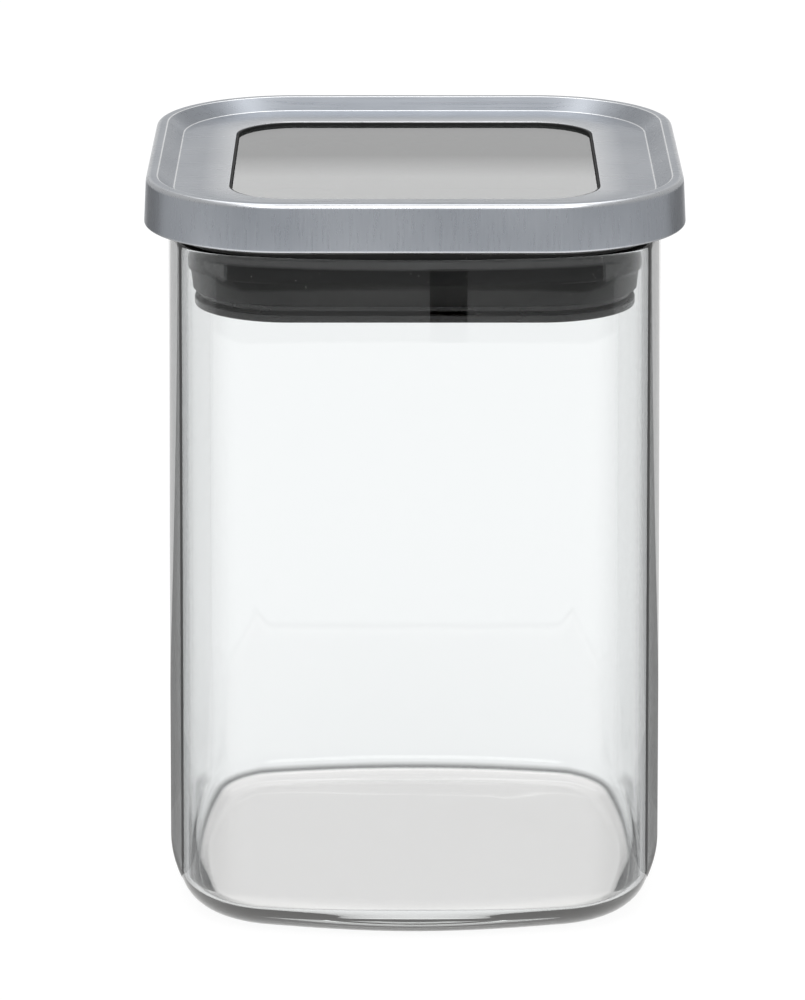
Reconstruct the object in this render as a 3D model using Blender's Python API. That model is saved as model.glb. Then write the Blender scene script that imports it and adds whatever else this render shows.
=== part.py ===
"""Lidded glass canister: a square glass jar and its lift-off lid of six pieces.

Metres, +Z up. The origin is the middle of the base's underside, and the lid is closed at rest.
Every piece is a loft: a stack of rounded-square loops, each a half width, two radii and a height.
"""

import math

import bpy

MM = 0.001

# Driving sizes
BODY_HALF = 51.9 * MM  # glass body, middle of a side, at the base
BODY_DRAFT = 1.0 * MM  # how much smaller that is at the mouth
BODY_SIDE_RADIUS = 160 * MM  # the glass sides bulge a little
BODY_CORNER = 21 * MM
JAR_HEIGHT = 143.2 * MM
WALL = 1.8 * MM
FLOOR = 4.0 * MM
BASE_FILLET = 8.0 * MM  # at the middle of a side
BASE_CORNER_FILLET = 9.8 * MM
INNER_FILLET = 5.0 * MM

LID_HALF = 54.8 * MM  # at the foot of the skirt
SKIRT_FLARE = 0.5 * MM  # how much smaller the rim is
LID_CORNER = 29 * MM
LID_BOTTOM = 145.6 * MM
LID_TOP = 155.35 * MM
SHEET = 0.8 * MM
HEM = 1.3 * MM  # the skirt's edge is folded, so it is thicker
HEM_HEIGHT = 2.1 * MM
RIM_ROUNDING = 1.1 * MM
RIM_LAND = 2.3 * MM
RIM_SLOPE = 3.3 * MM
PANEL_DROP = 2.5 * MM
WINDOW_HALF = 37.5 * MM
WINDOW_CORNER = 12.5 * MM

PLUG_HALF = 44.0 * MM
PLUG_CORNER = 19 * MM
PLUG_WALL = 2.4 * MM
PLUG_BOTTOM = 129.2 * MM
SHELF_HALF = 51.4 * MM
SHELF_THICKNESS = 2.0 * MM
SHELF_UNDERSIDE = 144.55 * MM
STEP_RISE = 1.2 * MM  # of the slope from the shelf up to under the panel
PANE_LEDGE_WIDTH = 1.5 * MM  # how far the plug reaches in under the pane
PANE_LEDGE_THICKNESS = 1.6 * MM
RETAINER_HALF = 45.0 * MM
RETAINER_THICKNESS = 1.7 * MM
SPIGOT_WALL = 1.2 * MM
SPIGOT_HEIGHT = 5.0 * MM

SEAL_CONE_TOP = 137.8 * MM
SEAL_CONE_BOTTOM = 132.6 * MM
SEAL_CLEARANCE = 0.35 * MM  # to the glass wall and to its rim
NECK_HEIGHT = 1.1 * MM  # of the narrow part beside the glass rim

PANE_THICKNESS = 1.7 * MM
PANE_DROP = 0.75 * MM  # of the pane's top below the panel's
PANE_CHAMFER = 0.15 * MM
GASKET_HALF = 40.5 * MM
GASKET_LIP = 0.6 * MM
GASKET_DROP = 0.15 * MM  # of the lip's top below the panel's

GAP = 0.3 * MM  # between pieces that touch
NEARLY_STRAIGHT = 20.0  # metres: the side radius of a piece whose sides don't bulge

SIDE_STEPS = 3  # per half side
CORNER_STEPS = 8

PANEL_TOP = LID_TOP - PANEL_DROP
PANEL_UNDERSIDE = PANEL_TOP - SHEET
RIM_HALF = LID_HALF - SKIRT_FLARE
PANEL_HALF = RIM_HALF - RIM_LAND - RIM_SLOPE
PLUG_TOP = PANEL_UNDERSIDE - GAP
PANE_TOP = PANEL_TOP - PANE_DROP
PANE_BOTTOM = PANE_TOP - PANE_THICKNESS
PANE_SEAT = PANE_BOTTOM - GAP
GASKET_CORNER = WINDOW_CORNER + GASKET_HALF - WINDOW_HALF


class Outline:
    """A rounded square whose sides are arcs, tangent to its corner arcs."""

    def __init__(self, half, corner, side_radius=NEARLY_STRAIGHT):
        self.half, self.corner, self.side_radius = half, corner, side_radius

    def inset(self, distance):
        return Outline(
            self.half - distance, self.corner - distance, self.side_radius - distance
        )

    def quarter(self):
        """(angle of the outward normal, x, y) round the +X side and the corner after it."""
        to_centre = self.side_radius - self.half
        spare = (self.corner - self.half) * (2 * self.side_radius - self.half - self.corner)
        corner_centre = (math.sqrt(to_centre**2 - 2 * spare) - to_centre) / 2
        end = math.atan2(corner_centre, corner_centre + to_centre)
        for step in range(-SIDE_STEPS, SIDE_STEPS):
            angle = end * step / SIDE_STEPS
            across = self.side_radius * math.cos(angle) - to_centre
            yield angle, across, self.side_radius * math.sin(angle)
        for step in range(CORNER_STEPS):
            angle = end + (math.pi / 2 - 2 * end) * step / CORNER_STEPS
            yield (
                angle,
                corner_centre + self.corner * math.cos(angle),
                corner_centre + self.corner * math.sin(angle),
            )

    def loop(self, z):
        return [(x, y, z) for _, x, y in self.points()]

    def points(self):
        for turn in range(4):
            cos, sin = (1, 0, -1, 0)[turn], (0, 1, 0, -1)[turn]
            for angle, x, y in self.quarter():
                yield angle + turn * math.pi / 2, x * cos - y * sin, x * sin + y * cos


def loft(name, loops, material, ring=True):
    """One closed body through the loops; a ring joins the last to the first, and others are capped."""
    count = len(loops[0])
    faces = []
    for low in range(len(loops) if ring else len(loops) - 1):
        high = (low + 1) % len(loops)
        for i in range(count):
            j = (i + 1) % count
            faces.append((low * count + i, low * count + j, high * count + j, high * count + i))
    if not ring:
        faces.append(tuple(reversed(range(count))))
        faces.append(tuple(range((len(loops) - 1) * count, len(loops) * count)))
    mesh = bpy.data.meshes.new(name)
    mesh.from_pydata([point for loop in loops for point in loop], [], faces)
    mesh.materials.append(material)
    mesh.shade_smooth()
    mesh.set_sharp_from_angle(angle=math.radians(35))
    obj = bpy.data.objects.new(name, mesh)
    bpy.context.collection.objects.link(obj)
    return obj


def plain_material(name, colour, roughness, metallic=0.0, transmission=0.0):
    material = bpy.data.materials.new(name)
    material.use_nodes = True
    shader = material.node_tree.nodes["Principled BSDF"]
    shader.inputs["Base Color"].default_value = (*colour, 1)
    shader.inputs["Roughness"].default_value = roughness
    shader.inputs["Metallic"].default_value = metallic
    shader.inputs["Transmission Weight"].default_value = transmission
    return material


def arc(centre, radius, start, end, steps):
    """(half width, height) points of a section's rounded edge, angles in degrees."""
    for step in range(steps + 1):
        angle = math.radians(start + (end - start) * step / steps)
        yield centre[0] + radius * math.cos(angle), centre[1] + radius * math.sin(angle)


BODY = Outline(BODY_HALF, BODY_CORNER, BODY_SIDE_RADIUS)
LID = Outline(LID_HALF, LID_CORNER)
PLUG = Outline(PLUG_HALF, PLUG_CORNER)
WINDOW = Outline(WINDOW_HALF, WINDOW_CORNER)


def section(outline, points):
    """Loops of an outline inset to each (half width, height) point."""
    return [outline.inset(outline.half - half).loop(z) for half, z in points]


def body_loop(depth, z):
    """A loop this deep inside the glass body's outer face, at this height."""
    return BODY.inset(depth + BODY_DRAFT * z / JAR_HEIGHT).loop(z)


def base_edge(steps):
    """The jar's outer bottom edge: a fillet that is larger round the corners."""
    outer = list(BODY.points())
    for step in range(steps + 1):
        turn = math.pi / 2 * (1 - step / steps)
        loop = []
        for angle, x, y in outer:
            share = math.sin(2 * math.atan2(y, x)) ** 2
            radius = BASE_FILLET + (BASE_CORNER_FILLET - BASE_FILLET) * share
            z = radius * (1 - math.sin(turn))
            inset = radius * (1 - math.cos(turn)) + BODY_DRAFT * z / JAR_HEIGHT
            loop.append((x - inset * math.cos(angle), y - inset * math.sin(angle), z))
        yield loop


def make_jar(glass):
    rim = arc((-WALL / 2, JAR_HEIGHT - WALL / 2), WALL / 2, 0, 180, 8)
    floor_edge = arc((-WALL - INNER_FILLET, FLOOR + INNER_FILLET), INNER_FILLET, 0, -90, 5)
    loops = [*base_edge(7)]
    for inward, z in (*rim, *floor_edge):
        loops.append(body_loop(-inward, z))
    return loft("glass_jar", loops, glass, ring=False)


def make_cap(steel):
    """The pressed shell: hem, skirt, rounded rim, slope, sunk panel and window, then back underneath."""
    foot = 0.5 * MM  # the rounding of the hem
    ease = 0.4 * MM  # how far each end of the slope is rounded off, across
    ease_drop = 0.25 * MM  # and down
    land_inner = RIM_HALF - RIM_LAND
    outside = [
        (LID_HALF - HEM / 2, LID_BOTTOM),
        *arc((LID_HALF - foot, LID_BOTTOM + foot), foot, -60, 0, 2),
        *arc((RIM_HALF - RIM_ROUNDING, LID_TOP - RIM_ROUNDING), RIM_ROUNDING, 0, 90, 4),
        (land_inner, LID_TOP),
        (land_inner - ease, LID_TOP - ease_drop),
        (PANEL_HALF + ease, PANEL_TOP + ease_drop),
        (PANEL_HALF, PANEL_TOP),
    ]
    inside = [
        (PANEL_HALF, PANEL_UNDERSIDE),
        (land_inner - ease, LID_TOP - ease_drop - SHEET),
        (land_inner, LID_TOP - SHEET),
        (RIM_HALF - RIM_ROUNDING, LID_TOP - SHEET),
        (RIM_HALF - SHEET, LID_TOP - RIM_ROUNDING),
        (LID_HALF - SHEET, LID_BOTTOM + HEM_HEIGHT + ease),
        (LID_HALF - HEM, LID_BOTTOM + HEM_HEIGHT),
        (LID_HALF - HEM, LID_BOTTOM + foot),
    ]
    loops = [
        *section(LID, outside),
        WINDOW.loop(PANEL_TOP),
        WINDOW.loop(PANEL_UNDERSIDE),
        *section(LID, inside),
    ]
    return loft("lid_cap", loops, steel)


def make_plug(smoky):
    """The inner lid: shelf under the cap, collar into the mouth, and a recess that takes the pane."""
    bottom = PLUG_BOTTOM + RETAINER_THICKNESS + GAP
    bore = PLUG.inset(PLUG_WALL)
    recess = Outline(GASKET_HALF + GAP, GASKET_CORNER + GAP)
    seat = WINDOW.inset(PANE_LEDGE_WIDTH)
    shelf = LID.inset(LID_HALF - SHELF_HALF)
    step = LID.inset(LID_HALF - PANEL_HALF + SHEET)
    shelf_top = SHELF_UNDERSIDE + SHELF_THICKNESS
    loops = [
        bore.loop(bottom),
        PLUG.loop(bottom),
        PLUG.loop(SHELF_UNDERSIDE),
        shelf.loop(SHELF_UNDERSIDE),
        shelf.loop(shelf_top),
        step.loop(shelf_top + STEP_RISE),
        step.loop(PLUG_TOP),
        recess.loop(PLUG_TOP),
        recess.loop(PANE_SEAT),
        seat.loop(PANE_SEAT),
        seat.loop(PANE_SEAT - PANE_LEDGE_THICKNESS),
        bore.loop(SHELF_UNDERSIDE + SHELF_THICKNESS / 2),
    ]
    return loft("plug_body", loops, smoky)


def make_retainer(smoky):
    """The ring under the seal, with a spigot up inside the collar."""
    top = PLUG_BOTTOM + RETAINER_THICKNESS
    spigot_outer = PLUG_HALF - PLUG_WALL - GAP
    spigot_inner = spigot_outer - SPIGOT_WALL
    edge = 0.5 * MM  # the rounding of the lower edge
    chamfer = 0.2 * MM  # of the upper edge
    profile = [
        (spigot_inner, PLUG_BOTTOM),
        *arc((RETAINER_HALF - edge, PLUG_BOTTOM + edge), edge, -90, 0, 2),
        (RETAINER_HALF, top - chamfer),
        (RETAINER_HALF - chamfer, top),
        (spigot_outer, top),
        (spigot_outer, top + SPIGOT_HEIGHT),
        (spigot_inner, top + SPIGOT_HEIGHT),
    ]
    outline = PLUG.inset(PLUG_HALF - RETAINER_HALF)
    return loft("seal_retainer", section(outline, profile), smoky)


def make_seal(silicone):
    """The soft ring: a cone that leads into the mouth, a band against the glass and a lip over the rim."""
    bore = PLUG.inset(-GAP)
    cone_foot = PLUG.inset(PLUG_HALF - RETAINER_HALF)
    band = BODY.inset(BODY_DRAFT + WALL + SEAL_CLEARANCE)
    neck = band.inset(0.5 * MM)
    lip = BODY.inset(BODY_DRAFT + WALL / 2)
    ease = 0.4 * MM  # how far the cone's two ends are rounded off
    lip_underside = JAR_HEIGHT + SEAL_CLEARANCE
    top = SHELF_UNDERSIDE - GAP
    loops = [
        bore.loop(SEAL_CONE_BOTTOM),
        cone_foot.loop(SEAL_CONE_BOTTOM),
        cone_foot.inset(-ease).loop(SEAL_CONE_BOTTOM + ease),
        neck.loop(SEAL_CONE_TOP - ease),
        band.loop(SEAL_CONE_TOP + ease),
        band.loop(JAR_HEIGHT - 2 * NECK_HEIGHT),
        neck.loop(JAR_HEIGHT - NECK_HEIGHT),
        neck.loop(lip_underside),
        lip.loop(lip_underside),
        lip.loop(top),
        bore.loop(top),
    ]
    return loft("seal_ring", loops, silicone)


def make_window(tint, black):
    """The pane, in a gasket whose flange lies under the panel and whose lip stands in the opening."""
    flange = Outline(GASKET_HALF, GASKET_CORNER)
    lip = WINDOW.inset(GAP)
    hole = lip.inset(GASKET_LIP)
    lip_top = PANEL_TOP - GASKET_DROP
    loops = [
        flange.loop(PANE_BOTTOM),
        flange.loop(PLUG_TOP),
        lip.loop(PLUG_TOP),
        lip.loop(lip_top),
        hole.loop(lip_top),
        hole.loop(PANE_BOTTOM),
    ]
    loft("window_gasket", loops, black)
    pane = hole.inset(GAP)
    loops = [
        pane.loop(PANE_BOTTOM),
        pane.loop(PANE_TOP - PANE_CHAMFER),
        pane.inset(PANE_CHAMFER).loop(PANE_TOP),
    ]
    return loft("window_pane", loops, tint, ring=False)


def main():
    for old in list(bpy.data.objects):
        bpy.data.objects.remove(old, do_unlink=True)
    glass = plain_material("clear_glass", (0.95, 0.97, 0.97), 0.02, transmission=1.0)
    steel = plain_material("brushed_steel", (0.42, 0.44, 0.47), 0.35, metallic=1.0)
    tint = plain_material("grey_pane", (0.25, 0.26, 0.25), 0.05, transmission=0.8)
    black = plain_material("black_gasket", (0.01, 0.01, 0.01), 0.7)
    smoky = plain_material("smoky_plastic", (0.03, 0.03, 0.03), 0.3)
    silicone = plain_material("dark_silicone", (0.05, 0.05, 0.05), 0.5)
    make_jar(glass)
    make_cap(steel)
    make_window(tint, black)
    make_plug(smoky)
    make_retainer(smoky)
    make_seal(silicone)


main()
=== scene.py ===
"""Looks of the lidded glass canister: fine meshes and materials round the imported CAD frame."""

import math

import bpy
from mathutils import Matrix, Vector


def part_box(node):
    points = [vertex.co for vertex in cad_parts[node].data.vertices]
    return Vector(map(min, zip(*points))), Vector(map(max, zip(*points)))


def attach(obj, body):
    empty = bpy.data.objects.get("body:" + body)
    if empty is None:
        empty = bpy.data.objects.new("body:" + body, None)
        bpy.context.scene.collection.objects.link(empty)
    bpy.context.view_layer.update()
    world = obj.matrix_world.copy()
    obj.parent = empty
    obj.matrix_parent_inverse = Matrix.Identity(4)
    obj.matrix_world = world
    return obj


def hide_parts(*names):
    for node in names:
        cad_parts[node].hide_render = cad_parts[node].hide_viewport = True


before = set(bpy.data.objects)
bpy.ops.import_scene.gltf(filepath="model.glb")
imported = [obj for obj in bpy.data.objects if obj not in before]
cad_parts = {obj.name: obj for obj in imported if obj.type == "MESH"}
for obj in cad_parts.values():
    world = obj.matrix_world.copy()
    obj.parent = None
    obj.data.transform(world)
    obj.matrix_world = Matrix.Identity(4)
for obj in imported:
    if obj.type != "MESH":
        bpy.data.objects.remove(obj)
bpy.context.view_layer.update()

MM = 0.001
NEARLY_STRAIGHT = 20.0  # metres: the side radius of a piece whose sides don't bulge


# ---------------------------------------------------------------- sizes, from the frame's boxes
def half_of(node):
    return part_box(node)[1].x


def bottom_of(node):
    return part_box(node)[0].z


def top_of(node):
    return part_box(node)[1].z


GAP = 0.3 * MM  # between pieces that touch

BODY_DRAFT = 1.0 * MM
DRAFT_AT_WIDEST = 0.06 * MM  # what the draft has taken off by the widest height
BODY_HALF = half_of("glass_jar") + DRAFT_AT_WIDEST
BODY_SIDE_RADIUS = 160 * MM
BODY_CORNER = 21 * MM
JAR_HEIGHT = top_of("glass_jar")
WALL = 1.8 * MM
FLOOR = 4.0 * MM
BASE_FILLET = 8.0 * MM
BASE_CORNER_FILLET = 9.8 * MM
INNER_FILLET = 5.0 * MM

LID_HALF = half_of("lid_cap")
SKIRT_FLARE = 0.5 * MM
LID_CORNER = 29 * MM
LID_BOTTOM = bottom_of("lid_cap")
LID_TOP = top_of("lid_cap")
SHEET = 0.8 * MM
HEM = 1.3 * MM
HEM_HEIGHT = 2.1 * MM
RIM_ROUNDING = 1.1 * MM
RIM_HALF = LID_HALF - SKIRT_FLARE
RIM_LAND = 2.3 * MM
RIM_SLOPE = 3.3 * MM
PANEL_HALF = RIM_HALF - RIM_LAND - RIM_SLOPE
PANEL_DROP = 2.5 * MM
PANEL_TOP = LID_TOP - PANEL_DROP

WINDOW_HALF = 37.5 * MM
WINDOW_CORNER = 12.5 * MM
GASKET_HALF = half_of("window_gasket")
GASKET_CORNER = WINDOW_CORNER + GASKET_HALF - WINDOW_HALF
GASKET_LIP = 0.4 * MM
PANE_TOP = top_of("window_pane")
PANE_BOTTOM = bottom_of("window_pane")
PLUG_TOP = top_of("plug_body")

RETAINER_PROUD = 1.0 * MM  # how far it stands out from the plug
PLUG_HALF = half_of("seal_retainer") - RETAINER_PROUD
PLUG_CORNER = 19 * MM
PLUG_WALL = 2.4 * MM
SHELF_THICKNESS = 2.0 * MM
STEP_RISE = 1.2 * MM
PANE_LEDGE_WIDTH = 1.5 * MM
PANE_LEDGE_THICKNESS = 1.6 * MM
RETAINER_THICKNESS = 1.7 * MM
SPIGOT_WALL = 1.2 * MM
SHELF_UNDERSIDE = top_of("seal_ring") + GAP
SEAL_BOTTOM = bottom_of("seal_ring")
SEAL_CONE_HEIGHT = 5.2 * MM
SEAL_CONE_TOP = SEAL_BOTTOM + SEAL_CONE_HEIGHT
SEAL_CLEARANCE = 0.35 * MM
NECK_HEIGHT = 1.1 * MM
NECK_DEPTH = 0.5 * MM

SIDE_STEPS = 14  # per half side
CORNER_STEPS = 28
BASE_STEPS = 18
FLOOR_EDGE_STEPS = 14
BEND_STEPS = 8


# ---------------------------------------------------------------- shapes
class Outline:
    """A rounded square whose sides are arcs, tangent to its corner arcs."""

    def __init__(self, half, corner, side_radius=NEARLY_STRAIGHT):
        self.half, self.corner, self.side_radius = half, corner, side_radius

    def inset(self, distance):
        return Outline(
            self.half - distance, self.corner - distance, self.side_radius - distance
        )

    def quarter(self):
        """(angle of the outward normal, x, y) round the +X side and the corner after it."""
        to_centre = self.side_radius - self.half
        spare = (self.corner - self.half) * (2 * self.side_radius - self.half - self.corner)
        corner_centre = (math.sqrt(to_centre**2 - 2 * spare) - to_centre) / 2
        end = math.atan2(corner_centre, corner_centre + to_centre)
        for step in range(-SIDE_STEPS, SIDE_STEPS):
            angle = end * step / SIDE_STEPS
            across = self.side_radius * math.cos(angle) - to_centre
            yield angle, across, self.side_radius * math.sin(angle)
        for step in range(CORNER_STEPS):
            angle = end + (math.pi / 2 - 2 * end) * step / CORNER_STEPS
            yield (
                angle,
                corner_centre + self.corner * math.cos(angle),
                corner_centre + self.corner * math.sin(angle),
            )

    def points(self):
        for turn in range(4):
            cos, sin = (1, 0, -1, 0)[turn], (0, 1, 0, -1)[turn]
            for angle, x, y in self.quarter():
                yield angle + turn * math.pi / 2, x * cos - y * sin, x * sin + y * cos

    def loop(self, z):
        return [(x, y, z) for _, x, y in self.points()]

    def section(self, points):
        """Loops inset to each (half width, height) point."""
        return [self.inset(self.half - half).loop(z) for half, z in points]


BODY = Outline(BODY_HALF, BODY_CORNER, BODY_SIDE_RADIUS)
LID = Outline(LID_HALF, LID_CORNER)
PLUG = Outline(PLUG_HALF, PLUG_CORNER)
WINDOW = Outline(WINDOW_HALF, WINDOW_CORNER)


def arc(centre, radius, start, end, steps):
    """Points of a section's rounded edge, angles in degrees."""
    for step in range(steps + 1):
        angle = math.radians(start + (end - start) * step / steps)
        yield centre[0] + radius * math.cos(angle), centre[1] + radius * math.sin(angle)


def soften(corners):
    """Points along an open section of (half width, height, radius) corners, rounded to their radii.

    Each point comes with how far into its corner's bend it is: 0 at the ends, 1 in the middle.
    """
    places = [Vector(corner[:2]) for corner in corners]
    for i, here in enumerate(places):
        radius = corners[i][2]
        if not radius:
            yield (*here, 0.0)
            continue
        back = (places[i - 1] - here).normalized()
        on = (places[i + 1] - here).normalized()
        half_angle = back.angle(on) / 2
        reach = radius / math.tan(half_angle)
        centre = here + (back + on).normalized() * radius / math.sin(half_angle)
        first = (here + back * reach - centre).normalized()
        last = (here + on * reach - centre).normalized()
        for step in range(BEND_STEPS + 1):
            point = centre + radius * first.slerp(last, step / BEND_STEPS).normalized()
            yield (*point, math.sin(math.pi * step / BEND_STEPS))


def loft(name, loops, material, body, node, ring=True, sharp=32, marks=None):
    """One closed piece through the loops, which stands for a CAD node and rides on its body.

    marks holds one value for each loop, for the material to read as the attribute "mark".
    """
    count = len(loops[0])
    faces = []
    for low in range(len(loops) if ring else len(loops) - 1):
        high = (low + 1) % len(loops)
        for i in range(count):
            j = (i + 1) % count
            faces.append((low * count + i, low * count + j, high * count + j, high * count + i))
    if not ring:
        faces.append(tuple(reversed(range(count))))
        faces.append(tuple(range((len(loops) - 1) * count, len(loops) * count)))
    mesh = bpy.data.meshes.new(name)
    mesh.from_pydata([point for loop in loops for point in loop], [], faces)
    mesh.materials.append(material)
    mesh.shade_smooth()
    mesh.set_sharp_from_angle(angle=math.radians(sharp))
    if marks:
        attribute = mesh.attributes.new("mark", "FLOAT", "POINT")
        attribute.data.foreach_set("value", [mark for mark in marks for _ in range(count)])
    piece = bpy.data.objects.new(name, mesh)
    bpy.context.scene.collection.objects.link(piece)
    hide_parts(node)
    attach(piece, body)


# ---------------------------------------------------------------- materials
class Nodes:
    """Short names for making and joining the nodes of one material or world."""

    def __init__(self, owner):
        owner.use_nodes = True
        self.tree = owner.node_tree
        self.shader = self.tree.nodes.get("Principled BSDF")
        self.output = self.tree.nodes.get("Material Output")

    def add(self, kind, **settings):
        node = self.tree.nodes.new("ShaderNode" + kind)
        for key, value in settings.items():
            setattr(node, key, value)
        return node

    def feed(self, socket, value):
        """Joins another node's output to a socket, or sets the socket to a plain value."""
        if isinstance(value, bpy.types.NodeSocket):
            self.tree.links.new(value, socket)
        else:
            socket.default_value = value

    def set(self, **values):
        for key, value in values.items():
            self.feed(self.shader.inputs[key.replace("_", " ")], value)

    def mark(self):
        return self.add("Attribute", attribute_name="mark").outputs["Fac"]

    def place(self):
        """The position on the piece, in metres, as modelled at rest."""
        return self.add("TexCoord").outputs["Object"]

    def axis(self, vector, name):
        split = self.add("SeparateXYZ")
        self.feed(split.inputs[0], vector)
        return split.outputs[name]

    def stretch(self, vector, scale):
        node = self.add("VectorMath", operation="MULTIPLY")
        self.feed(node.inputs[0], vector)
        node.inputs[1].default_value = scale
        return node.outputs[0]

    def noise(self, vector, scale, detail=2.0, roughness=0.5):
        node = self.add("TexNoise")
        self.feed(node.inputs["Vector"], vector)
        node.inputs["Scale"].default_value = scale
        node.inputs["Detail"].default_value = detail
        node.inputs["Roughness"].default_value = roughness
        return node.outputs["Fac"]

    def math(self, operation, first, second=0.0, third=0.0):
        node = self.add("Math", operation=operation)
        for socket, value in zip(node.inputs, (first, second, third)):
            self.feed(socket, value)
        return node.outputs[0]

    def remap(self, value, low, high, to_low, to_high):
        node = self.add("MapRange")
        for socket, part in zip(node.inputs, (value, low, high, to_low, to_high)):
            self.feed(socket, part)
        return node.outputs[0]

    def mix(self, factor, first, second, blend="MIX"):
        """A mix of two colours, each a socket or a tuple."""
        node = self.add("Mix", data_type="RGBA", blend_type=blend)
        for socket, value in ((0, factor), (6, first), (7, second)):
            self.feed(node.inputs[socket], value)
        return node.outputs[2]

    def ramp(self, source, stops, interpolation="EASE"):
        """A grey ramp over the source, through (position, value) stops."""
        node = self.add("ValToRGB")
        node.color_ramp.interpolation = interpolation
        elements = node.color_ramp.elements
        while len(elements) < len(stops):
            elements.new(0.5)
        for element, (position, value) in zip(elements, stops):
            element.position = position
            element.color = (value, value, value, 1)
        self.feed(node.inputs["Fac"], source)
        return node.outputs["Color"]

    def bump(self, height, distance, strength=1.0):
        node = self.add("Bump")
        node.inputs["Strength"].default_value = strength
        node.inputs["Distance"].default_value = distance
        self.feed(node.inputs["Height"], height)
        self.feed(self.shader.inputs["Normal"], node.outputs[0])


def material_named(name):
    material = bpy.data.materials.new(name)
    return material, Nodes(material)


def clear_glass():
    """Clear glass. Its outside, marked 1, darkens as it turns away.

    Its inside darkens along the edge of its floor. These darkenings, and a flat grey where the
    outside faces down, are painted shade. The rounding under it glows faintly, a painted light in
    place of light that takes too many bounces to get out.
    """
    material, n = material_named("clear_glass")
    n.set(Roughness=0.0, IOR=1.5, Transmission_Weight=1.0)
    facing = n.add("LayerWeight")
    facing.inputs["Blend"].default_value = 0.5
    # Painted shade: the outside's colour darkens as the surface turns edge-on.
    painted_edge_shade = (
        (0.1, 0.98), (0.3, 0.79), (0.4, 0.74), (0.53, 0.62),
        (0.6, 0.38), (0.7, 0.24), (0.8, 0.18), (0.9, 0.08),
    )
    edge = n.ramp(facing.outputs["Facing"], painted_edge_shade)
    up = n.axis(n.add("NewGeometry").outputs["Normal"], "Z")
    # Painted shade: where the outside faces down, a flat grey tint takes the place of the edge
    # darkening.
    under = n.remap(up, -0.15, -0.6, 0.0, 1.0)
    edge = n.mix(under, edge, (0.72, 0.715, 0.69, 1))
    outer = n.mix(1.0, (0.9, 0.922, 0.926, 1), edge, "MULTIPLY")

    on_floor = n.remap(up, 0.86, 0.93, 0.0, 1.0)
    floor_tint = n.mix(on_floor, (1, 1, 1, 1), (1.0, 0.94, 0.92, 1))
    # Painted shade: a dark band round the inside where the floor meets the wall.
    floor_edge = n.ramp(up, ((0.62, 1.0), (0.86, 0.06), (0.965, 1.0)))
    inner = n.mix(1.0, floor_tint, floor_edge, "MULTIPLY")
    n.set(Base_Color=n.mix(n.mark(), inner, outer))

    # Painted light: the outer rounding under the jar glows faintly.
    from_below = n.remap(up, -1.0, 0.0, 0.0, 1.0)
    rounding = n.ramp(from_below, ((0.02, 0.0), (0.12, 1.0), (0.75, 1.0), (1.0, 0.0)))
    outer_rounding = n.math("MULTIPLY", rounding, n.mark())
    painted_glow = 0.09
    n.set(
        Emission_Color=(1.0, 0.99, 0.96, 1),
        Emission_Strength=n.math("MULTIPLY", outer_rounding, painted_glow),
    )

    n.bump(n.noise(n.stretch(n.place(), (1, 1, 0.4)), 45), 0.02 * MM, 0.5)
    absorb = n.add("VolumeAbsorption")
    absorb.inputs["Color"].default_value = (0.02, 0.05, 0.04, 1)
    absorb.inputs["Density"].default_value = 3
    n.feed(n.output.inputs["Volume"], absorb.outputs[0])
    return material


def brushed_steel():
    """Fine satin sheet, brushed side to side on top and upright round the skirt.

    Its bends, marked up to 1, carry a painted highlight: their colour is lifted towards white.
    """
    material, n = material_named("brushed_steel")
    place = n.place()
    level = n.math("ABSOLUTE", n.axis(n.add("NewGeometry").outputs["Normal"], "Z"))
    on_top = n.remap(level, 0.4, 0.6, 0.0, 1.0)
    upright = n.noise(n.stretch(place, (1.0, 1.0, 0.06)), 1900, 2.0, 0.5)
    sideways = n.noise(n.stretch(place, (0.03, 1.0, 1.0)), 1300, 3.0, 0.6)
    grain = n.mix(on_top, upright, sideways)
    cloud = n.noise(place, 38, 2.0, 0.5)
    tone = n.math("MULTIPLY_ADD", cloud, 0.8, n.math("MULTIPLY", grain, 0.2))
    tone = n.remap(tone, 0.35, 0.65, 0.0, 1.0)
    satin = n.mix(tone, (0.375, 0.4, 0.44, 1), (0.455, 0.48, 0.52, 1))
    # Painted highlight: where the mark is up to 1, the colour goes to near white along the bends.
    n.set(
        Metallic=1.0,
        Base_Color=n.mix(n.mark(), satin, (0.97, 0.98, 0.99, 1)),
        Roughness=n.remap(grain, 0.3, 0.7, 0.26, 0.32),
    )
    n.bump(grain, 0.003 * MM, 0.4)
    return material


def tinted_pane():
    """Smooth grey glass, with a tint that varies a little from place to place."""
    material, n = material_named("tinted_pane")
    haze = n.noise(n.place(), 25, 2.0)
    n.set(
        Base_Color=n.mix(haze, (0.12, 0.13, 0.127, 1), (0.15, 0.163, 0.158, 1)),
        Roughness=0.0,
        IOR=1.5,
        Transmission_Weight=0.9,
    )
    return material


def black_gasket():
    """Matt black rubber with a fine tooth."""
    material, n = material_named("black_gasket")
    grain = n.noise(n.place(), 2500, 2.0)
    n.set(
        Base_Color=n.mix(grain, (0.006, 0.006, 0.006, 1), (0.014, 0.014, 0.014, 1)),
        Roughness=0.7,
    )
    n.bump(grain, 0.02 * MM)
    return material


def smoky_plastic():
    """Moulded plastic, nearly black, with faint flow marks round it."""
    material, n = material_named("smoky_plastic")
    flow = n.noise(n.stretch(n.place(), (1, 1, 4)), 40, 3.0)
    n.set(
        Base_Color=n.mix(flow, (0.006, 0.0055, 0.005, 1), (0.012, 0.0115, 0.0105, 1)),
        Roughness=n.remap(flow, 0.3, 0.7, 0.2, 0.34),
    )
    n.bump(flow, 0.03 * MM)
    return material


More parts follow.
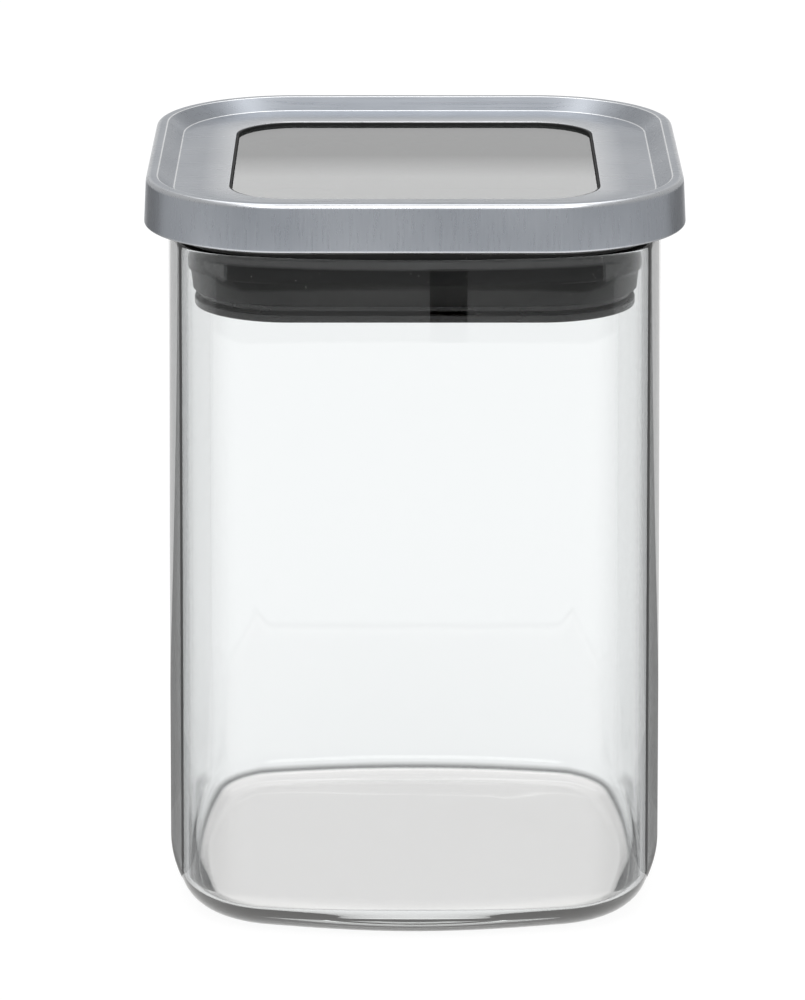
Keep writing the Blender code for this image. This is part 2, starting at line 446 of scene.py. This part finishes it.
def dark_silicone():
    """Satin silicone with specks of dust, blacker where it is pressed on the glass.

    The pressed part ends in a wavy edge.
    """
    material, n = material_named("dark_silicone")
    place = n.place()
    sway = 0.9 * MM
    wave = n.remap(n.noise(n.stretch(place, (1, 1, 0.1)), 28, 1.0), 0.3, 0.7, -sway, sway)
    height = n.math("ADD", n.axis(place, "Z"), wave)
    fade_start = SEAL_CONE_TOP - 0.2 * MM
    fade_end = SEAL_CONE_TOP + 0.5 * MM
    pressed = n.remap(height, fade_start, fade_end, 0.0, 1.0)
    bloom = n.noise(place, 120, 4.0, 0.6)
    satin = n.mix(bloom, (0.005, 0.005, 0.0045, 1), (0.010, 0.0095, 0.009, 1))
    clean = n.mix(pressed, satin, (0.003, 0.003, 0.003, 1))
    speck = n.remap(n.noise(place, 2200, 1.0), 0.76, 0.8, 0.0, 0.6)
    n.set(
        Base_Color=n.mix(speck, clean, (0.3, 0.29, 0.27, 1)),
        Roughness=n.remap(pressed, 0.0, 1.0, 0.45, 0.3),
        Specular_IOR_Level=0.25,
    )
    n.bump(n.noise(place, 900, 2.0), 0.01 * MM)
    return material


# ---------------------------------------------------------------- pieces
def body_loop(depth, z):
    """A loop this deep inside the glass body's outer face, at this height."""
    return BODY.inset(depth + BODY_DRAFT * z / JAR_HEIGHT).loop(z)


def base_edge():
    """The jar's outer bottom edge: a fillet that is larger round the corners."""
    outer = list(BODY.points())
    for step in range(BASE_STEPS + 1):
        turn = math.pi / 2 * (1 - step / BASE_STEPS)
        loop = []
        for angle, x, y in outer:
            share = math.sin(2 * math.atan2(y, x)) ** 2
            radius = BASE_FILLET + (BASE_CORNER_FILLET - BASE_FILLET) * share
            z = radius * (1 - math.sin(turn))
            inset = radius * (1 - math.cos(turn)) + BODY_DRAFT * z / JAR_HEIGHT
            loop.append((x - inset * math.cos(angle), y - inset * math.sin(angle), z))
        yield loop


def wall(depth, low, high):
    """Loops along a straight stretch of wall, so that its smooth shading stays true to it."""
    shares = (0.01, 0.25, 0.5, 0.75, 0.99)
    return [body_loop(depth, low + (high - low) * share) for share in shares]


def make_jar():
    """The glass body, from its underside up over the rim and down to its floor."""
    rim_centre = (-WALL / 2, JAR_HEIGHT - WALL / 2)
    rim_outside = arc(rim_centre, WALL / 2, 0, 90, BEND_STEPS)
    rim_inside = arc(rim_centre, WALL / 2, 100, 180, BEND_STEPS)
    floor_centre = (-WALL - INNER_FILLET, FLOOR + INNER_FILLET)
    floor_edge = arc(floor_centre, INNER_FILLET, 0, -90, FLOOR_EDGE_STEPS)
    outside = [
        *base_edge(),
        *wall(0, BASE_CORNER_FILLET, rim_centre[1]),
        *(body_loop(-inward, z) for inward, z in rim_outside),
    ]
    inside = [
        *(body_loop(-inward, z) for inward, z in rim_inside),
        *wall(WALL, rim_centre[1], FLOOR + INNER_FILLET),
        *(body_loop(-inward, z) for inward, z in floor_edge),
    ]
    marks = [1.0] * len(outside) + [0.0] * len(inside)
    loft(
        "jar_glass", [*outside, *inside], clear_glass(), "jar", "glass_jar",
        ring=False, sharp=60, marks=marks,
    )


def make_cap():
    """The pressed shell: hem, flared skirt, rim, slope, sunk panel, window, and back underneath."""
    land_inner = RIM_HALF - RIM_LAND
    hem_inner = LID_HALF - HEM
    crease = 0.6 * MM
    panel_inner = WINDOW_HALF + 6 * MM
    bends = [  # half width, height, radius, how strong the painted highlight on it is
        (hem_inner, LID_BOTTOM + 0.5 * MM, 0, 0.0),
        (hem_inner, LID_BOTTOM, 0.4 * MM, 0.0),
        (LID_HALF, LID_BOTTOM, 0.5 * MM, 0.5),
        (RIM_HALF, LID_TOP, RIM_ROUNDING, 0.5),
        (land_inner, LID_TOP, crease, 1.0),
        (PANEL_HALF, PANEL_TOP, crease, 1.0),
        (panel_inner, PANEL_TOP, 0, 0.0),
    ]
    softened = list(soften([bend[:3] for bend in bends]))
    # The painted highlight along each bend is strongest in the middle of the bend.
    painted_highlight = [bend[3] for bend in bends for _ in range(BEND_STEPS + 1 if bend[2] else 1)]
    marks = [most * share for most, (_, _, share) in zip(painted_highlight, softened)]
    outside = LID.section([(half, z) for half, z, _ in softened])
    opening = [  # how far outside the window, how far below the panel, how strong the painted highlight is
        (0.25 * MM, 0.0, 0.5),
        (0.07 * MM, 0.06 * MM, 0.8),
        (0.0, 0.22 * MM, 0.2),
        (0.0, SHEET, 0.0),
    ]
    window_edge = [WINDOW.inset(-out).loop(PANEL_TOP - drop) for out, drop, _ in opening]
    marks += [highlight_share for _, _, highlight_share in opening]
    ease = 0.4 * MM
    ease_drop = 0.25 * MM
    inside = LID.section(
        [
            (PANEL_HALF, PANEL_TOP - SHEET),
            (land_inner - ease, LID_TOP - ease_drop - SHEET),
            (land_inner, LID_TOP - SHEET),
            (RIM_HALF - RIM_ROUNDING, LID_TOP - SHEET),
            (RIM_HALF - SHEET, LID_TOP - RIM_ROUNDING),
            (LID_HALF - SHEET, LID_BOTTOM + HEM_HEIGHT + ease),
            (hem_inner, LID_BOTTOM + HEM_HEIGHT),
        ]
    )
    marks += [0.0] * len(inside)
    loft(
        "cap_shell", [*outside, *window_edge, *inside], brushed_steel(), "lid", "lid_cap",
        marks=marks,
    )


def make_plug(smoky):
    """The collar in the mouth, its shelf over the rim and its recess for the pane and gasket."""
    bore = PLUG.inset(PLUG_WALL)
    recess = Outline(GASKET_HALF + GAP, GASKET_CORNER + GAP)
    seat = WINDOW.inset(PANE_LEDGE_WIDTH)
    shelf = LID.inset(LID_HALF - half_of("plug_body"))
    step = LID.inset(LID_HALF - PANEL_HALF + SHEET)
    low = bottom_of("plug_body")
    shelf_top = SHELF_UNDERSIDE + SHELF_THICKNESS
    pane_seat = PANE_BOTTOM - GAP
    edge = 0.3 * MM
    loops = [
        bore.loop(low),
        PLUG.inset(edge).loop(low),
        PLUG.loop(low + edge),
        PLUG.loop(SHELF_UNDERSIDE),
        shelf.inset(edge).loop(SHELF_UNDERSIDE),
        shelf.loop(SHELF_UNDERSIDE + edge),
        shelf.loop(shelf_top),
        step.loop(shelf_top + STEP_RISE),
        step.loop(PLUG_TOP),
        recess.loop(PLUG_TOP),
        recess.loop(pane_seat),
        seat.loop(pane_seat),
        seat.loop(pane_seat - PANE_LEDGE_THICKNESS),
        bore.loop(SHELF_UNDERSIDE + SHELF_THICKNESS / 2),
    ]
    loft("plug_collar", loops, smoky, "lid", "plug_body")


def make_retainer(smoky):
    """The ring under the seal, held by a spigot inside the plug."""
    low = bottom_of("seal_retainer")
    top = low + RETAINER_THICKNESS
    half = half_of("seal_retainer")
    spigot_outer = PLUG_HALF - PLUG_WALL - GAP
    spigot_inner = spigot_outer - SPIGOT_WALL
    spigot_top = top_of("seal_retainer")
    edge = 0.5 * MM
    chamfer = 0.2 * MM
    profile = [
        (spigot_inner, low),
        *arc((half - edge, low + edge), edge, -90, 0, 6),
        (half, top - chamfer),
        (half - chamfer, top),
        (spigot_outer, top),
        (spigot_outer, spigot_top),
        (spigot_inner, spigot_top),
    ]
    loops = PLUG.inset(PLUG_HALF - half).section(profile)
    loft("plug_lower_ring", loops, smoky, "lid", "seal_retainer")


def make_seal():
    """The ring in the plug's groove: cone, band along the glass, neck, and lip over the rim."""
    bore = PLUG.inset(-GAP)
    cone_foot = PLUG.inset(PLUG_HALF - half_of("seal_retainer"))
    band = BODY.inset(BODY_DRAFT + WALL + SEAL_CLEARANCE)
    neck = band.inset(NECK_DEPTH)
    lip = BODY.inset(BODY_DRAFT + WALL / 2)
    ease = 0.4 * MM
    lip_underside = JAR_HEIGHT + SEAL_CLEARANCE
    top = top_of("seal_ring")
    loops = [
        bore.loop(SEAL_BOTTOM),
        cone_foot.loop(SEAL_BOTTOM),
        cone_foot.inset(-ease).loop(SEAL_BOTTOM + ease),
        neck.loop(SEAL_CONE_TOP - ease),
        band.inset(0.1 * MM).loop(SEAL_CONE_TOP),
        band.loop(SEAL_CONE_TOP + ease),
        band.loop(JAR_HEIGHT - 2 * NECK_HEIGHT),
        neck.loop(JAR_HEIGHT - NECK_HEIGHT),
        neck.loop(lip_underside),
        lip.loop(lip_underside),
        lip.loop(top),
        bore.loop(top),
    ]
    loft("silicone_seal", loops, dark_silicone(), "lid", "seal_ring")


def make_window():
    """The pane and its gasket, drawn closer than the CAD gaps, as they touch on the real lid."""
    lip_clearance = 0.05 * MM
    pane_clearance = 0.04 * MM
    flange = Outline(GASKET_HALF, GASKET_CORNER)
    lip = WINDOW.inset(lip_clearance)
    hole = lip.inset(GASKET_LIP)
    lip_top = top_of("window_gasket")
    edge = 0.12 * MM
    loops = [
        flange.loop(PANE_BOTTOM),
        flange.loop(PLUG_TOP),
        lip.loop(PLUG_TOP),
        lip.loop(lip_top - edge),
        lip.inset(edge).loop(lip_top),
        hole.inset(-edge).loop(lip_top),
        hole.loop(lip_top - edge),
        hole.loop(PANE_BOTTOM),
    ]
    loft("pane_gasket", loops, black_gasket(), "lid", "window_gasket")
    pane = hole.inset(pane_clearance)
    chamfer = 0.1 * MM
    loops = [
        pane.inset(chamfer).loop(PANE_BOTTOM),
        pane.loop(PANE_BOTTOM + chamfer),
        pane.loop(PANE_TOP - chamfer),
        pane.inset(chamfer).loop(PANE_TOP),
    ]
    loft("pane_tinted", loops, tinted_pane(), "lid", "window_pane", ring=False)


# ---------------------------------------------------------------- studio
FLOOR_LEVEL = -0.15 * MM
PLATE_LAYER = 0.03 * MM


def make_stage_card(name, corners, colour, strength, seen_by):
    """A flat stage piece that glows, seen only by the named kinds of ray."""
    mesh = bpy.data.meshes.new(name)
    mesh.from_pydata(corners, [], [tuple(range(len(corners)))])
    material, n = material_named(name)
    n.set(Base_Color=(*colour, 1), Roughness=1.0, Specular_IOR_Level=0.0)
    n.set(Emission_Color=(1, 1, 1, 1), Emission_Strength=strength)
    mesh.materials.append(material)
    card = bpy.data.objects.new(name, mesh)
    for kind in ("camera", "diffuse", "glossy", "transmission", "volume_scatter", "shadow"):
        setattr(card, "visible_" + kind, kind in seen_by)
    bpy.context.scene.collection.objects.link(card)


def make_floor():
    """A light table: it glows nearly white itself, so that the shade under the jar stays faint."""
    size = 12.0
    z = FLOOR_LEVEL
    corners = [(-size, -size, z), (size, -size, z), (size, size, z), (-size, size, z)]
    kinds = ("camera", "diffuse", "glossy", "transmission")
    make_stage_card("floor", corners, (0.12, 0.12, 0.12), 0.92, kinds)


def make_plate(name, near, far, start, end, strength, layer=1, through_glass=False):
    """A sector of a ring lying on the floor, seen by reflections, and by rays out of the glass if
    through_glass says so.

    near and far are its radii. start and end are degrees from the front, positive towards +X.
    """
    seen_by = ("glossy", "transmission") if through_glass else ("glossy",)
    z = FLOOR_LEVEL + PLATE_LAYER * layer
    degrees_per_step = 5
    steps = max(1, round((end - start) / degrees_per_step))
    turns = [math.radians(start + (end - start) * step / steps) for step in range(steps + 1)]
    inner = [(near * math.sin(turn), -near * math.cos(turn), z) for turn in turns]
    outer = [(far * math.sin(turn), -far * math.cos(turn), z) for turn in turns]
    make_stage_card(name, [*outer, *reversed(inner)], (0, 0, 0), strength, seen_by)


def make_side_plates(name, near, far, start, end, strength):
    """A plate at the left and its twin at the right."""
    make_plate(name + "_left", near, far, -end, -start, strength)
    make_plate(name + "_right", near, far, start, end, strength)


def make_plates():
    """What the upright surfaces mirror: strips in front with a gap in them, and dark sides."""
    front, side, rear, behind = 75, 118, 154, 164  # degrees from the front where the plates change
    foot, beside, edge = 0.05, 0.14, 6.0  # radii: under the jar, next to it, and the far edge
    cone, seal, skirt = 0.585, 0.655, 0.72  # radii that the cone, the seal and the skirt mirror
    make_plate("plate_seal", seal, skirt, -front, front, 0.15, through_glass=True)
    make_plate("plate_cone", cone, seal, -front, front, 0.42, through_glass=True)
    make_plate("plate_gap", cone, skirt, 2.5, 8.5, 0.0, layer=2, through_glass=True)
    make_plate("plate_skirt", skirt, 4.0, -front, front, 0.62)
    make_side_plates("plate", beside, edge, front, side, 0.58)
    make_side_plates("near", foot, beside, front, side, 0.3)
    make_side_plates("edge", foot, edge, side, rear, 0.26)
    make_side_plates("rear", foot, edge, rear, behind, 0.72)
    make_plate("window_left", 0.66, 0.7, -88, -60, 1.05, layer=3, through_glass=True)
    make_plate("window_right", 0.66, 0.7, 60, 86, 0.85, layer=3, through_glass=True)


def make_world():
    """White to the camera. To everything else a pale room with lights in it.

    A narrow bright band and a high light stand behind, and a key light in front. All are dimmed at
    the left and right, as by flags.
    """
    world = bpy.data.worlds.new("studio")
    bpy.context.scene.world = world
    n = Nodes(world)
    background = n.tree.nodes["Background"]
    direction = n.add("TexCoord").outputs["Generated"]
    up = n.axis(direction, "Z")
    peak = 4.0

    def profile(*heights):
        """The sky's brightness over (degrees above the horizon, brightness) stops."""
        stops = [(math.sin(math.radians(height)), light / peak) for height, light in heights]
        return n.ramp(up, stops, "LINEAR")

    behind = profile(
        (11.4, 0.6), (11.6, 1.06), (12.22, 1.06), (12.34, 1.65), (13.0, 1.65), (13.4, 0.62),
        (45, 0.66), (52, 2.3), (68, 2.3), (74, 0.8),
    )
    front = profile((20, 0.6), (33, 0.6), (37, 3.6), (70, 3.6), (75, 0.7))
    side = n.remap(n.axis(direction, "Y"), -0.05, 0.05, 0.0, 1.0)
    sky = n.mix(side, front, behind)
    flag_start, flag_end, flag_level = 0.3, 0.42, 0.12
    sideways = n.math("ABSOLUTE", n.axis(direction, "X"))
    flag = n.remap(sideways, flag_start, flag_end, 0.0, 1.0)
    dimmed = n.mix(1.0, sky, (flag_level, flag_level, flag_level, 1), "DARKEN")
    flagged = n.mix(flag, sky, dimmed)
    white = 1.02 / peak
    seen = n.add("LightPath").outputs["Is Camera Ray"]
    n.feed(background.inputs["Color"], n.mix(seen, flagged, (white, white, white, 1)))
    background.inputs["Strength"].default_value = peak


def make_camera():
    """The camera in front, looking down a little."""
    pitch = 0.276
    camera = bpy.data.objects.new("camera", bpy.data.cameras.new("camera"))
    camera.data.lens = 195.4
    camera.data.sensor_width = 36
    camera.location = (-0.0025, -1.098, 0.3906)
    camera.rotation_euler = (math.pi / 2 - pitch, 0, 0)
    camera.data.clip_end = 50
    bpy.context.scene.collection.objects.link(camera)
    bpy.context.scene.camera = camera


make_camera()
make_world()
make_floor()
make_plates()
make_jar()
make_cap()
smoky = smoky_plastic()
make_plug(smoky)
make_retainer(smoky)
make_seal()
make_window()
bpy.context.scene.view_settings.view_transform = "Standard"
